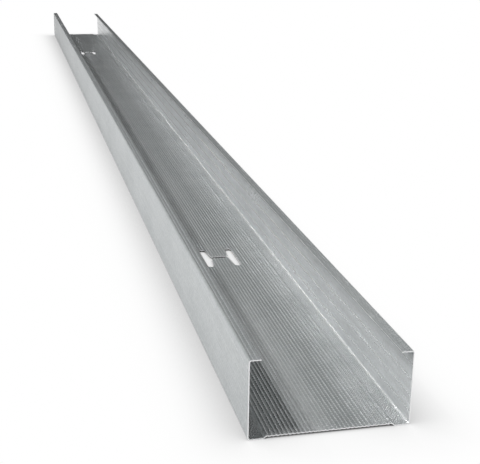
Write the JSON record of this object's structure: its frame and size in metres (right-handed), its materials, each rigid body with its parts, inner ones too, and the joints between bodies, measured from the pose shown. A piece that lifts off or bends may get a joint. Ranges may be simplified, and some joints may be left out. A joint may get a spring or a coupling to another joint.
{
  "type": "drywall metal stud",
  "caption": "Roll-formed C-shaped wall stud of thin galvanised sheet, with a stepped web, lipped flanges of unequal height and H-shaped service openings.",
  "frame": {"origin": "middle of the stud's length and width, at the web's lowest face", "axes": "+X across the web towards the narrow flange, +Y along the stud, +Z from the web up to the lips"},
  "size_m": [0.0988, 1.9, 0.05],
  "materials": {
    "galvanised_sheet": "satin zinc coating over fine rolled rows of dimples"
  },
  "bodies": {
    "root": {"c_stud": "galvanised_sheet"}
  },
  "joints": []
}
